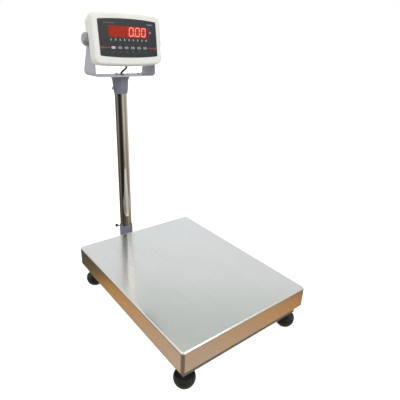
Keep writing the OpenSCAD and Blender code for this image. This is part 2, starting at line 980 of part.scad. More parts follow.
// Gland that grips the indicator cable under the head
module cable_gland() {
    bottom = head_mid_z - rear_size.y / 2;
    inside = bottom + shell_wall;
    color(black)
    in_head()
    translate([gland_at.x, gland_at.y, 0])
        difference() {
            union() {
                hex_bar(14, bottom - 4, bottom);
                post(5.5, bottom - 8, bottom - 3);
                post(gland_r - touch, bottom - 1, inside + 5);
                hex_bar(14, inside, inside + 4);
            }
            post(cable_r + 0.3, bottom - 9, inside + 6);
        }
}

// Charger socket under the head
module power_jack() {
    bottom = head_mid_z - rear_size.y / 2;
    color(black)
    in_head()
    translate([jack_at.x, jack_at.y, 0])
        difference() {
            union() {
                post(jack_r + 1, bottom - 2, bottom);
                post(jack_r - touch, bottom - 1, bottom + shell_wall + 9);
            }
            post(2.8, bottom - 3, bottom + 9);
        }
}

// One oval key, counted from the left as the user sees it
module panel_key(number) {
    color("#8d9298")
    in_head()
    translate([(number - (key_count + 1) / 2) * key_pitch, 0, key_z])
        wall_y(face_y - 0.4, face_y + 1.8) stadium(key_size);
}

weighing_pan();
pan_bumpers();
top_frame();
upper_cell_bolts();
upper_cell_spacer();
load_cell();
lower_cell_spacer();
lower_cell_bolts();
base_frame();
overload_stops();
overload_nuts();
foot_lock_nuts();
foot_stem(foot_corners[0]);  // foot_stem_front_left
foot_stem(foot_corners[1]);  // foot_stem_front_right
foot_stem(foot_corners[2]);  // foot_stem_rear_left
foot_stem(foot_corners[3]);  // foot_stem_rear_right
foot_pad(foot_corners[0]);  // foot_pad_front_left
foot_pad(foot_corners[1]);  // foot_pad_front_right
foot_pad(foot_corners[2]);  // foot_pad_rear_left
foot_pad(foot_corners[3]);  // foot_pad_rear_right
level_vial_cup();
level_vial_glass();
load_cell_cable();
column_bracket();
column_bracket_bolts();
clamp_stud();
clamp_ball();
column_tube();
column_cap();
cap_screw();
head_bracket();
bracket_screws();
cable_grommet();
indicator_cable();
pivot_washers();
tilt_knob(-1);  // knob_left
tilt_knob(1);  // knob_right
knob_stud(-1);  // knob_stud_left
knob_stud(1);  // knob_stud_right
front_shell();
rear_shell();
shell_gasket();
shell_screws();
pivot_inserts();
keypad_overlay();
display_window();
led_digits();
display_board();
board_standoffs();
main_board();
battery();
cable_gland();
power_jack();
panel_key(1);  // key_1
panel_key(2);  // key_2
panel_key(3);  // key_3
panel_key(4);  // key_4
panel_key(5);  // key_5
panel_key(6);  // key_6
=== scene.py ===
"""Looks of the bench scale: materials, finer meshes for the moulded and folded parts, and the studio."""

import json
import math

import bpy
from mathutils import Matrix, Vector


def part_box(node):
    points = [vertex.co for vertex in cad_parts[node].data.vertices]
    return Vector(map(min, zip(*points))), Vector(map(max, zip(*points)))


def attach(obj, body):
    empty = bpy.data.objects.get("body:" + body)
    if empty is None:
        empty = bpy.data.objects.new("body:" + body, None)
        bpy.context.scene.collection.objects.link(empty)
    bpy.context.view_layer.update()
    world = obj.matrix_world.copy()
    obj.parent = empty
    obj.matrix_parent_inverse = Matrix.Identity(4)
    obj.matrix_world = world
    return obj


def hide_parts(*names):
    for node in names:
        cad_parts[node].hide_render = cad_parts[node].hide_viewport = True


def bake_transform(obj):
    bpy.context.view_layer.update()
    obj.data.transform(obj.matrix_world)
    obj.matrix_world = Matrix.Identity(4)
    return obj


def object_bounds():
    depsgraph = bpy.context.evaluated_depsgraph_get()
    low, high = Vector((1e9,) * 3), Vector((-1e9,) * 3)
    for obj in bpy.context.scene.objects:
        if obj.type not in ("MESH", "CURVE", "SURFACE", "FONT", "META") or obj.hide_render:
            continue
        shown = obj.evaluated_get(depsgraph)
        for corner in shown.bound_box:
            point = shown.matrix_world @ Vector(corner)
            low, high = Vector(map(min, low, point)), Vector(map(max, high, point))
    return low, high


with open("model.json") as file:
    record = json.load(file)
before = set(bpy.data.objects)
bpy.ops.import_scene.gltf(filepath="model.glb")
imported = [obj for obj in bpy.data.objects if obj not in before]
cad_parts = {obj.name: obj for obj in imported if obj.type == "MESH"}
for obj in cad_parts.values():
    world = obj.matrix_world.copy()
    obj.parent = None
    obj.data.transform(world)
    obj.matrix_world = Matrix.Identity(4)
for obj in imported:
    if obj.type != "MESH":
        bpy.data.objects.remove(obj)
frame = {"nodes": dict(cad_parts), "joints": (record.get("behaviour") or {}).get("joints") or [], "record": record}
cad_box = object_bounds()
NODES = frame["nodes"]
JOINTS = {joint["name"]: joint for joint in frame["joints"]}
MM = 0.001


# ---------- places taken from the frame ----------

def head_frame():
    """Matrix of the head's own frame: origin on the tilt axis, +Y into the head, +X to the reader's right."""
    inward = Vector(JOINTS["button_1_press"]["axis"])
    right = Vector((1, 0, 0))
    turn = Matrix((right, inward, right.cross(inward))).transposed().to_4x4()
    return Matrix.Translation(JOINTS["head_tilt"]["pos_m"]) @ turn


HEAD = head_frame()


def head_box(node):
    """Lowest and highest corner of a CAD node in the head's own frame."""
    to_head = HEAD.inverted()
    points = [to_head @ vertex.co for vertex in NODES[node].data.vertices]
    lowest = Vector([min(point[i] for point in points) for i in range(3)])
    highest = Vector([max(point[i] for point in points) for i in range(3)])
    return lowest, highest


# ---------- node graphs ----------

def rgb(code):
    """Linear colour of a #rrggbb code."""
    parts = [int(code[i:i + 2], 16) / 255 for i in (1, 3, 5)]
    return tuple(part / 12.92 if part <= 0.04045 else ((part + 0.055) / 1.055) ** 2.4 for part in parts)


class Graph:
    """Short calls for adding nodes to a node tree. Each returns the new node's output socket."""

    def __init__(self, tree):
        self.tree = tree

    def add(self, kind, inputs=None, output=0, **settings):
        """A node of any kind, with its settings and with its inputs by name or number."""
        node = self.tree.nodes.new(kind)
        for key, value in settings.items():
            setattr(node, key, value)
        for socket, value in (inputs or {}).items():
            self.plug(value, node.inputs[socket])
        return node.outputs[output]

    def plug(self, value, socket):
        """Links an output to an input socket, or sets a plain value on it."""
        if isinstance(value, bpy.types.NodeSocket):
            self.tree.links.new(value, socket)
        elif isinstance(value, tuple) and len(value) == 3 and socket.type == "RGBA":
            socket.default_value = (*value, 1)
        else:
            socket.default_value = value

    def math(self, operation, a, b=0.0):
        """One step of arithmetic."""
        return self.add("ShaderNodeMath", {0: a, 1: b}, operation=operation)

    def remap(self, value, low, high, new_low=0.0, new_high=1.0):
        """Runs from new_low to new_high as value runs from low to high, and is held at both ends."""
        inputs = {0: value, 1: low, 2: high, 3: new_low, 4: new_high}
        return self.add("ShaderNodeMapRange", inputs)

    def mix(self, factor, a, b, blend="MIX"):
        """Colour a where the factor is 0, and b, or a blended with b, where it is 1."""
        node = self.tree.nodes.new("ShaderNodeMix")
        node.data_type = "RGBA"
        node.blend_type = blend
        self.plug(factor, node.inputs[0])
        self.plug(a, node.inputs[6])
        self.plug(b, node.inputs[7])
        return node.outputs[2]

    def ramp(self, value, stops):
        """Colour that runs through (position, colour) stops."""
        node = self.tree.nodes.new("ShaderNodeValToRGB")
        elements = node.color_ramp.elements
        while len(elements) < len(stops):
            elements.new(1.0)
        for element, (position, colour) in zip(elements, stops):
            element.position = position
            element.color = (*colour, 1) if isinstance(colour, tuple) else (colour, colour, colour, 1)
        self.plug(value, node.inputs[0])
        return node.outputs[0]

    def split(self, vector, axis):
        """One part of a vector: 0 for X, 1 for Y and 2 for Z."""
        return self.add("ShaderNodeSeparateXYZ", {0: vector}, output=axis)


class Look(Graph):
    """A Principled material with texture calls in the object's own place, in metres."""

    def __init__(self, name, **inputs):
        self.material = bpy.data.materials.new(name)
        self.material.use_nodes = True
        super().__init__(self.material.node_tree)
        self.shader = self.tree.nodes["Principled BSDF"]
        self.place = self.add("ShaderNodeTexCoord", output="Object")
        for socket, value in inputs.items():
            self.set(socket.replace("_", " ").title().replace("Ior", "IOR"), value)

    def set(self, socket, value):
        """Sets an input of the shader, and returns the look so that calls can follow one another."""
        self.plug(value, self.shader.inputs[socket])
        return self

    def noise(self, size, stretch=(1, 1, 1), detail=2.0, roughness=0.5):
        """Noise whose features are about size metres across, drawn out by stretch along X, Y and Z."""
        scale = Vector([1 / factor for factor in stretch])
        place = self.add("ShaderNodeMapping", {"Vector": self.place, "Scale": scale})
        inputs = {"Vector": place, "Scale": 1 / size, "Detail": detail, "Roughness": roughness}
        return self.add("ShaderNodeTexNoise", inputs)

    def bump(self, height, depth, edge=0.0):
        """Bump of a depth in metres, over edges softened by a small radius."""
        inputs = {"Height": height, "Distance": depth, "Strength": 1.0}
        if edge:
            inputs["Normal"] = self.add("ShaderNodeBevel", {"Radius": edge}, samples=4)
        return self.set("Normal", self.add("ShaderNodeBump", inputs))

    def worn_edges(self, radius):
        """1 on sharp edges and 0 on flat faces."""
        bevel = self.add("ShaderNodeBevel", {"Radius": radius}, samples=4)
        true = self.add("ShaderNodeNewGeometry", output="Normal")
        dot = self.add("ShaderNodeVectorMath", {0: bevel, 1: true}, operation="DOT_PRODUCT", output="Value")
        return self.remap(dot, 0.99, 0.85)


# ---------- materials ----------

def stainless():
    """Satin sheet, brushed along Y on the top and the sides and along X on the two end skirts."""
    look = Look("stainless_sheet", metallic=1.0)
    along_y = look.noise(0.0008, (1, 400, 1), detail=4)
    along_x = look.noise(0.0008, (400, 1, 1), detail=4)
    normal = look.add("ShaderNodeNewGeometry", output="Normal")
    end_skirt = look.math("GREATER_THAN", look.math("ABSOLUTE", look.split(normal, 1)), 0.6)
    lines = look.mix(end_skirt, along_y, along_x)
    cloud = look.noise(0.09, (1, 1.6, 1), detail=3)
    handled = look.noise(0.02, detail=5, roughness=0.6)
    steel = look.mix(look.remap(cloud, 0.3, 0.7), rgb("#e0e2e1"), rgb("#e5e6e5"))
    look.set("Base Color", look.mix(look.remap(lines, 0.3, 0.7, 0, 0.35), steel, rgb("#c3c5c4")))
    satin = look.remap(lines, 0.3, 0.7, 0.16, 0.22)
    look.set("Roughness", look.math("ADD", satin, look.remap(handled, 0.5, 0.8, 0.0, 0.02)))
    look.bump(lines, 0.000004)
    return look


def chrome():
    """Polished tube with fine polishing lines round it and faint finger marks."""
    look = Look("chrome_tube", metallic=1.0, base_color=rgb("#e9e5dd"))
    lines = look.noise(0.0006, (60, 60, 1), detail=3)
    marks = look.noise(0.018, (1, 1, 2), detail=5, roughness=0.65)
    shine = look.remap(lines, 0.3, 0.7, 0.03, 0.06)
    look.set("Roughness", look.math("ADD", shine, look.remap(marks, 0.5, 0.72, 0.0, 0.09)))
    look.bump(lines, 0.000002)
    return look


def paint(name, colour, gloss=0.38, edge=0.0006):
    """Powder coat with orange peel, slight shade changes and rubbed edges."""
    look = Look(name, coat_weight=0.15, coat_roughness=0.25)
    peel = look.noise(0.0016, detail=2)
    shade = look.noise(0.03, detail=3)
    dust = look.noise(0.006, detail=4, roughness=0.7)
    body = look.mix(look.remap(shade, 0.3, 0.7), tuple(0.92 * part for part in colour), colour)
    rubbed = look.math("MULTIPLY", look.worn_edges(2 * edge), look.remap(dust, 0.45, 0.6))
    look.set("Base Color", look.mix(look.math("MULTIPLY", rubbed, 0.5), body, rgb("#b9bcc4")))
    look.set("Roughness", look.remap(dust, 0.3, 0.75, gloss, gloss + 0.14))
    look.bump(peel, 0.00005, edge)
    return look


def zinc(name="zinc_steel", thread=0.0):
    """Zinc plate with a cloudy passivated tint, and turned rings at the thread's pitch if there is one."""
    look = Look(name, metallic=1.0)
    cloud = look.noise(0.006, detail=4)
    speck = look.noise(0.0009, detail=2)
    look.set("Base Color", look.mix(cloud, rgb("#b4b2a6"), rgb("#c3c8d0")))
    look.set("Roughness", look.remap(speck, 0.3, 0.7, 0.26, 0.42))
    if thread:
        inputs = {"Vector": look.place, "Scale": 0.314 / thread}
        rings = look.add("ShaderNodeTexWave", inputs, output="Fac", bands_direction="Z")
        return look.bump(rings, 0.0006)
    return look.bump(speck, 0.00002, 0.0004)


def aluminium():
    """Milled block: even cutter lines across it under a thin anodised layer."""
    look = Look("cell_aluminium", metallic=1.0, base_color=rgb("#d3d6d8"))
    cuts = look.noise(0.0007, (300, 1, 300), detail=2)
    look.set("Roughness", look.remap(cuts, 0.3, 0.7, 0.28, 0.4))
    return look.bump(cuts, 0.00001, 0.0005)


def plastic(name, colour, rough=0.42, grain=0.0009, depth=0.00004, edge=0.0005, dusty=0.0):
    """Moulded plastic with a spark-eroded grain, faint flow shades and a little dust in patches."""
    look = Look(name)
    texture = look.noise(grain, detail=3, roughness=0.6)
    flow = look.noise(0.05, (1, 1, 1.5), detail=2)
    film = look.noise(0.012, detail=5, roughness=0.7)
    body = look.mix(look.remap(flow, 0.3, 0.7), tuple(0.93 * part for part in colour), colour)
    look.set("Base Color", look.mix(look.remap(film, 0.5, 0.8, 0, dusty), body, rgb("#9a968c")))
    look.set("Roughness", look.remap(film, 0.35, 0.7, rough, rough + 0.12))
    return look.bump(texture, depth, edge)


def rubber(name, colour, dusty=0.10):
    """Matt black rubber with a fine skin texture and grey dust."""
    look = plastic(name, colour, rough=0.55, grain=0.0012, depth=0.00008, dusty=dusty)
    return look.set("Sheen Weight", 0.15).set("Sheen Roughness", 0.5)


def pearl_plastic(name, colour):
    """Grey plastic with metallic flake, so that it shades like satin metal."""
    look = plastic(name, colour, rough=0.26)
    return look.set("Metallic", 0.5)


def cable_jacket():
    """Black PVC jacket: half gloss, with drawn lines along the cable."""
    look = Look("cable_jacket", base_color=rgb("#141516"))
    lines = look.noise(0.0006, (1, 1, 30), detail=2)
    look.set("Roughness", look.remap(lines, 0.3, 0.7, 0.32, 0.48))
    return look.bump(lines, 0.00003)


def vial_glass():
    """Green fluid with the air bubble as a paler round patch inside a dark ring."""
    look = Look("vial_glass", roughness=0.05, transmission_weight=0.6, ior=1.4)
    lowest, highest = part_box("level_vial_glass")
    centre = (lowest + highest) / 2
    inputs = {0: look.place, 1: (centre.x, centre.y, highest.z)}
    reach = look.add("ShaderNodeVectorMath", inputs, operation="DISTANCE", output="Value")
    bubble_r = 0.25 * (highest.x - lowest.x)
    bubble = look.remap(reach, bubble_r, bubble_r - 0.6 * MM)
    ring_r = bubble_r + 1 * MM
    half_line = 0.3 * MM
    ring = look.add("ShaderNodeMath", {0: reach, 1: ring_r, 2: half_line}, operation="COMPARE")
    fluid = look.mix(bubble, rgb("#8fcf4a"), rgb("#d8f0b4"))
    return look.set("Base Color", look.mix(ring, fluid, rgb("#1c2410")))


def brass():
    """Turned brass with fine tool marks."""
    look = Look("insert_brass", metallic=1.0, base_color=rgb("#d2a955"))
    turned = look.noise(0.0005, (20, 1, 1), detail=2)
    look.set("Roughness", look.remap(turned, 0.3, 0.7, 0.22, 0.38))
    return look.bump(turned, 0.00001, 0.0003)


def overlay_film():
    """Printed polycarbonate with a fine velvet texture and faint wipe marks."""
    look = Look("overlay_film", specular_ior_level=0.45)
    velvet = look.noise(0.0007, detail=2)
    wiped = look.noise(0.02, (3, 1, 1), detail=4)
    look.set("Base Color", look.mix(wiped, rgb("#1a2023"), rgb("#23292c")))
    look.set("Roughness", look.remap(wiped, 0.3, 0.7, 0.30, 0.44))
    return look.bump(velvet, 0.00002)


def window_film():
    """Clear red filter: light passes it, tinted, and its face keeps a plain gloss."""
    look = Look("window_film")
    smear = look.noise(0.012, detail=4)
    clear = look.add("ShaderNodeBsdfTransparent", {0: (0.90, 0.55, 0.45)})
    gloss = look.add("ShaderNodeBsdfGlossy", {"Roughness": look.remap(smear, 0.3, 0.7, 0.10, 0.22)})
    skin = look.add("ShaderNodeFresnel", {"IOR": 1.3})
    both = look.add("ShaderNodeMixShader", {0: skin, 1: clear, 2: gloss})
    look.plug(both, look.tree.nodes["Material Output"].inputs["Surface"])
    return look


def led_module():
    """Moulded red face of the digit blocks, brightened by a faint painted glow, though the blocks give no light.
    """
    look = Look("led_module", roughness=0.5)
    cast = look.noise(0.02, detail=2)
    face = look.mix(cast, (0.36, 0.085, 0.05), (0.46, 0.11, 0.06))
    look.set("Base Color", face)
    # painted glow: the face's own red is also emitted, though the block is no lamp
    look.set("Emission Color", face).set("Emission Strength", 0.55)
    return look.bump(look.noise(0.0006), 0.00002)


def segment(name, colour, glow):
    """Light bar of a digit, slightly uneven in brightness. Lit bars give real light; the faint glow of the unlit
    bars is painted light.
    """
    look = Look(name, base_color=rgb(colour), roughness=0.4)
    grain = look.noise(0.003, detail=2)
    hot = look.mix(grain, rgb(colour), tuple(min(1.0, 1.15 * part) for part in rgb(colour)))
    look.set("Emission Color", hot)
    return look.set("Emission Strength", glow)


def circuit_board():
    """Solder mask with darker routed tracks under it."""
    look = Look("board_green", roughness=0.35)
    inputs = {"Vector": look.place, "Scale": 260.0}
    tracks = look.add("ShaderNodeTexVoronoi", inputs, distance="MANHATTAN", feature="F1")
    look.set("Base Color", look.mix(look.remap(tracks, 0.3, 0.5), rgb("#1d6b3a"), rgb("#124a27")))
    return look.bump(tracks, 0.00003, 0.0003)


def key_film(name, colour):
    """Embossed key of the membrane: pale print under a satin film."""
    look = Look(name, specular_ior_level=0.5)
    wear = look.noise(0.004, detail=4)
    look.set("Base Color", look.mix(wear, tuple(0.85 * part for part in colour), colour))
    look.set("Roughness", look.remap(wear, 0.3, 0.7, 0.26, 0.4))
    return look.bump(look.noise(0.0007), 0.00002)


def print_ink(name, colour):
    """Ink printed on the overlay, slightly uneven in cover."""
    look = Look(name)
    cover = look.noise(0.0012, detail=3)
    look.set("Base Color", look.mix(look.remap(cover, 0.35, 0.6, 0, 0.25), colour, rgb("#2b3237")))
    return look.set("Roughness", look.remap(cover, 0.3, 0.7, 0.36, 0.46))


LOOKS = {
    "stainless_sheet": stainless(),
    "rubber": rubber("rubber", rgb("#1b1c1d")),
    "foot_rubber": rubber("foot_rubber", rgb("#0a0a06"), dusty=0.0),
    # frame grey, made darker and browner than its own paint: painted shade for the strip under the pan's skirt
    "frame_paint": paint("frame_paint", rgb("#6e6a64")),
    "zinc_steel": zinc(),
    "cell_aluminium": aluminium(),
    "black_plastic": plastic("black_plastic", rgb("#18191a"), rough=0.35),
    "vial_glass": vial_glass(),
    "cable_jacket": cable_jacket(),
    "socket_paint": paint("socket_paint", rgb("#85839a")),
    "chrome_tube": chrome(),
    "cap_paint": paint("cap_paint", rgb("#80828f"), gloss=0.3),
    "bracket_paint": paint("bracket_paint", rgb("#babbc4")),
    "knob_plastic": pearl_plastic("knob_plastic", rgb("#a3aaa8")),
    "ivory_plastic": plastic("ivory_plastic", rgb("#eeefe7"), rough=0.36, dusty=0.03),
    "insert_brass": brass(),
    "overlay_film": overlay_film(),
    "window_film": window_film(),
    "led_module": led_module(),
    "board_green": circuit_board(),
    "nylon": plastic("nylon", rgb("#e6e4dc"), rough=0.4),
    "battery_case": plastic("battery_case", rgb("#3a3c40"), rough=0.4),
    "key_film": key_film("key_film", rgb("#8b9092")),
}
THREADED = zinc("threaded_zinc", thread=0.0015)
POWER_KEY = key_film("power_key", rgb("#d3c0c0"))
LIT = segment("segment_lit", "#ffc8e0", 1.8)
# painted glow: the switched-off bars still emit a faint red light of their own
UNLIT = segment("segment_unlit", "#b0502c", 0.3)
INK = {
    "white": print_ink("ink_white", rgb("#f2f3f4")),
    "grey": print_ink("ink_grey", rgb("#6d757b")),
    "red": print_ink("ink_red", rgb("#8a3f38")),
    "blue": print_ink("ink_blue", rgb("#8fb6cc")),
    "dark_red": print_ink("ink_dark_red", rgb("#5c2c30")),
    "violet": print_ink("ink_violet", rgb("#5d4a6b")),
}


def dress_frame():
    """Gives each CAD node the look of the material slot that the record names for it."""
    for part in frame["record"]["subparts"]:
        mesh = NODES[part["node"]].data
        look = THREADED if part["node"].startswith("foot_stem") else LOOKS[part["material_slot"]]
        mesh.materials.clear()
        mesh.materials.append(look.material)


# ---------- mesh tools ----------

def outline(width, height, radius, bow=0.0, arc=8, long_side=24, short_side=12):
    """Points of a rounded rectangle, anticlockwise, with its top and bottom edges bowed outwards."""
    corners = ((1, 1), (-1, 1), (-1, -1), (1, -1))
    points = []
    for turn, (sx, sy) in enumerate(corners):
        centre = Vector((sx * (width / 2 - radius), sy * (height / 2 - radius)))
        for step in range(arc + 1):
            angle = math.pi / 2 * (turn + step / arc)
            points.append(centre + radius * Vector((math.cos(angle), math.sin(angle))))
        nx, ny = corners[(turn + 1) % 4]
        after = Vector((nx * (width / 2 - radius), ny * (height / 2 - radius)))
        angle = math.pi / 2 * (turn + 1)
        after += radius * Vector((math.cos(angle), math.sin(angle)))
        before = points[-1]
        steps = long_side if sx != nx else short_side
        points += [before.lerp(after, step / steps) for step in range(1, steps)]
    for point in points:
        point.y += math.copysign(bow * (1 - (2 * point.x / width) ** 2), point.y)
    return points


def stadium(width, height, steps=12):
    """Points of a rectangle with half-round ends, anticlockwise."""
    reach = (width - height) / 2
    points = []
    for side in (1, -1):
        for step in range(steps + 1):
            angle = math.pi * (step / steps - 0.5 * side)
            points.append(Vector((side * reach + height / 2 * math.cos(angle), height / 2 * math.sin(angle))))
    return points


def circle(radius, steps=64):
    """Points of a circle, anticlockwise."""
    angles = [2 * math.pi * i / steps for i in range(steps)]
    return [Vector((radius * math.cos(angle), radius * math.sin(angle))) for angle in angles]


def rectangle(x, z, width, height):
    """Corners of an upright rectangle about a centre, anticlockwise."""
    signs = ((-1, -1), (1, -1), (1, 1), (-1, 1))
    return [Vector((x + sx * width / 2, z + sz * height / 2)) for sx, sz in signs]


def curve(start, lead_out, lead_in, end, steps):
    """Points of a cubic curve that leaves start along lead_out and reaches end along lead_in."""
    points = []
    for i in range(steps + 1):
        t = i / steps
        u = 1 - t
        points.append(u ** 3 * start + 3 * u * u * t * (start + lead_out)
                      + 3 * u * t * t * (end - lead_in) + t ** 3 * end)
    return points


def tube_loops(path, radius, steps=20):
    """Circles that stand square to a path, one at each of its points."""
    loops = []
    for i, point in enumerate(path):
        before = path[max(i - 1, 0)]
        after = path[min(i + 1, len(path) - 1)]
        along = (after - before).normalized()
        side = along.cross(Vector((0, 1, 0))).normalized()
        other = side.cross(along)
        loops.append([point + p.x * side + p.y * other for p in circle(radius, steps)])
    return loops


def build(name, vertices, faces, look, body, sharp=35):
    """Makes a smooth-shaded piece that rides on a body."""
    mesh = bpy.data.meshes.new(name)
    mesh.from_pydata([tuple(vertex) for vertex in vertices], [], faces)
    mesh.validate()
    mesh.polygons.foreach_set("use_smooth", [True] * len(mesh.polygons))
    mesh.set_sharp_from_angle(angle=math.radians(sharp))
    mesh.materials.append(look.material)
    piece = bpy.data.objects.new(name, mesh)
    bpy.context.scene.collection.objects.link(piece)
    weighted = piece.modifiers.new("even_shading", "WEIGHTED_NORMAL")
    weighted.keep_sharp = True
    if body:
        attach(piece, body)
    return piece


def loft_faces(loops, closed, first=0):
    """Faces between neighbouring loops of equal length: capped at both ends, or closed into a ring."""
    count, size = len(loops), len(loops[0])
    pairs = [(k, (k + 1) % count) for k in range(count if closed else count - 1)]
    faces = [(first + a * size + i, first + a * size + (i + 1) % size,
              first + b * size + (i + 1) % size, first + b * size + i)
             for a, b in pairs for i in range(size)]
    if not closed:
        last = first + (count - 1) * size
        faces.append(tuple(range(first + size - 1, first - 1, -1)))
        faces.append(tuple(range(last, last + size)))
    return faces


def loft(name, loops, look, body, closed=False, sharp=35):
    """Makes a piece whose skin runs through loops of equal length."""
    vertices = [point for loop in loops for point in loop]
    return build(name, vertices, loft_faces(loops, closed), look, body, sharp)


def prisms(name, shapes, depths, look, body):
    """One piece made of flat shapes, drawn in the head's X and Z, that fill the two given depths."""
    vertices, faces = [], []
    for shape in shapes:
        loops = [[HEAD @ Vector((x, depth, z)) for x, z in shape] for depth in depths]
        faces += loft_faces(loops, closed=False, first=len(vertices))
        vertices += [point for loop in loops for point in loop]
    return build(name, vertices, faces, look, body)


def quarter(steps=6):
    """Sine and cosine pairs of a quarter turn, for rounded edges."""
    return [(math.sin(math.pi / 2 * i / steps), math.cos(math.pi / 2 * i / steps)) for i in range(steps + 1)]


# ---------- platform ----------

def weighing_pan():
    """Folded tray: a rolled edge round the flat top, skirts, and a doubled hem inside their foot."""
    low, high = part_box("weighing_pan")
    width, depth, _ = high - low
    sheet = 1.5 * MM
    edge_r = 4.2 * MM
    corner_r = 9 * MM
    hem_h = 10 * MM
    soft = 0.3 * MM  # bevel on the hem's edges
    margin = 4 * MM  # flat strip beside a bend, which keeps the shading of the top even

    def ring(inset, z):
        """Outline at one height. Its corners tighten with the inset, as far as the rolled edge goes."""
        radius = corner_r - min(inset, edge_r)
        return [Vector((p.x, p.y, z)) for p in outline(width - 2 * inset, depth - 2 * inset, radius)]

    loops = [ring(edge_r + margin, high.z)]
    for sine, cosine in quarter():
        loops.append(ring(edge_r * (1 - sine), high.z - edge_r * (1 - cosine)))
    loops.append(ring(0, low.z + sheet + 0.5 * MM))
    for sine, cosine in quarter(4):
        loops.append(ring(sheet * (1 - cosine), low.z + sheet * (1 - sine)))
    loops += [
        ring(2 * sheet, low.z + soft),
        ring(2 * sheet, low.z + hem_h),
        ring(sheet, low.z + hem_h + soft),
        ring(sheet, high.z - edge_r),
        ring(edge_r, high.z - sheet),
        ring(edge_r + margin, high.z - sheet),
    ]
    outward = [loop[::-1] for loop in loops]
    piece = loft("pan_sheet", outward, LOOKS["stainless_sheet"], "pan")
    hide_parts("weighing_pan")


def foot(corner):
    """Moulded rubber ball foot with a soft flat base, a parting line and a dished top."""
    low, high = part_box("foot_pad_" + corner)
    centre = (low + high) / 2
    ball_r = (high.x - low.x) / 2
    base_r = 0.65 * ball_r
    ball_z = low.z + math.sqrt(ball_r ** 2 - base_r ** 2)
    top_angle = math.asin((high.z - ball_z) / ball_r)
    base_angle = -math.acos(base_r / ball_r)
    top_r = ball_r * math.cos(top_angle)
    tread = 3 * MM  # width of the ring that stands on the floor
    hollow = 0.8 * MM
    parting = 0.25 * MM
    lip = 1.2 * MM
    steps = 30

    profile = [
        (4 * MM, low.z + hollow),
        (base_r - tread - 1 * MM, low.z + hollow),
        (base_r - tread, low.z),
    ]
    for step in range(1, steps):
        angle = base_angle + (top_angle - base_angle) * step / steps
        line = parting if step == steps // 2 else 0
        profile.append((ball_r * math.cos(angle) - line, ball_z + ball_r * math.sin(angle)))
    profile += [
        (top_r - lip, high.z),
        (top_r - 3 * lip, high.z),
        (top_r - 4 * lip, high.z - lip),
        (6 * MM, high.z - lip),
    ]
    loops = [[Vector((centre.x + p.x, centre.y + p.y, z)) for p in circle(radius)] for radius, z in profile]
    piece = loft("foot_" + corner, loops, LOOKS["foot_rubber"], "foot_" + corner)
    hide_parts("foot_pad_" + corner)


# ---------- indicator head ----------

def head_ring(y, centre_z, *shape, **more):
    """Rounded rectangle of outline() at a depth y in the head, centred on a height."""
    return [HEAD @ Vector((p.x, y, centre_z + p.y)) for p in outline(*shape, **more)]


def front_shell():
    """Moulded bezel: rounded bowed face, recess for the overlay, flaring sides and a hollow rim behind."""
    low, high = head_box("front_shell")
    film_low, film_high = head_box("keypad_overlay")
    middle = (low.z + high.z) / 2
    bow = 4.5 * MM
    back = Vector((high.x - low.x, high.z - low.z - 2 * bow))
    face = back - Vector((6 * MM, 5 * MM))
    back_r = 16 * MM
    face_r = 14 * MM
    edge_r = 5 * MM
    skin = 2.5 * MM

    seat = Vector((180 * MM, 116 * MM))  # outside of the inner wall
    seat_r = 10 * MM
    wall = 5 * MM
    well = Vector((seat.x - 2 * wall, seat.y - 2 * wall))
    well_r = 6 * MM
    groove = low.y + 6 * MM

    gap = 0.15 * MM
    film = Vector((film_high.x - film_low.x, film_high.z - film_low.z - 2 * (bow - 0.5 * MM)))
    film_z = (film_low.z + film_high.z) / 2
    film_r = 3 * MM
    recess = low.y + 1 * MM

    slot_top = head_box("display_window")[1].z + 1 * MM
    slot_foot = head_box("key_1")[0].z - 2 * MM
    slot = Vector((124 * MM, slot_top - slot_foot))
    slot_z = (slot_top + slot_foot) / 2
    slot_r = 2 * MM
    slot_back = recess + 2 * MM

    def outside(depth, size, inset, radius):
        """Bowed outline at a depth, drawn in by inset on each side."""
        return head_ring(depth, middle, size.x - 2 * inset, size.y - 2 * inset, radius, bow)

    loops = [
        head_ring(high.y, middle, *well, well_r),
        head_ring(high.y, middle, *seat, seat_r),
        head_ring(groove, middle, *seat, seat_r),
        outside(groove, face, skin / 2, face_r - 2 * MM),
        outside(high.y, back, skin, back_r - 2 * MM),
        outside(high.y, back, 0.5 * MM, back_r - 0.5 * MM),
        outside(high.y - 0.6 * MM, back, 0, back_r),
    ]
    for sine, cosine in quarter(8):
        inset = edge_r * (1 - cosine)
        loops.append(outside(low.y + edge_r * (1 - sine), face, inset, face_r - inset))
    loops += [
        outside(low.y, face, edge_r + 2 * MM, face_r - edge_r),
        head_ring(low.y, film_z, film.x + 4 * gap, film.y + 4 * gap, film_r + 2 * gap, bow),
        head_ring(low.y + 2 * gap, film_z, film.x + 2 * gap, film.y + 2 * gap, film_r, bow),
        head_ring(recess, film_z, film.x + 2 * gap, film.y + 2 * gap, film_r, bow),
        head_ring(recess, slot_z, *slot, slot_r),
        head_ring(slot_back, slot_z, *slot, slot_r),
        head_ring(slot_back, middle, *well, well_r),
    ]
    piece = loft("front_bezel", loops, LOOKS["ivory_plastic"], "head", closed=True, sharp=40)
    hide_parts("front_shell")


def key(number):
    """Embossed oval key with a crowned top."""
    node = f"key_{number}"
    low, high = head_box(node)
    centre = (low + high) / 2
    width = high.x - low.x
    height = high.z - low.z - 1 * MM
    crown_h = 0.35 * MM
    crown_r = 1.98 * MM

    def ring(depth, inset):
        """Oval outline at a depth, drawn in by inset all round."""
        points = stadium(width - 2 * inset, height - 2 * inset)
        return [HEAD @ Vector((centre.x + p.x, depth, centre.z + p.y)) for p in points]

    loops = [ring(high.y, 0)]
    for sine, cosine in quarter(5):
        loops.append(ring(low.y + crown_h * (1 - sine), crown_r * (1 - cosine)))
    look = POWER_KEY if number == 1 else LOOKS["key_film"]
    piece = loft(f"key_cap_{number}", loops, look, f"button_{number}")
    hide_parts(node)


def bar(start, end, thickness):
    """Six-sided bar with pointed ends between two points."""
    along = (end - start).normalized() * thickness / 2
    across = Vector((-along.y, along.x))
    return [start, start + along - across, end - along - across,
            end, end - along + across, start + along + across]


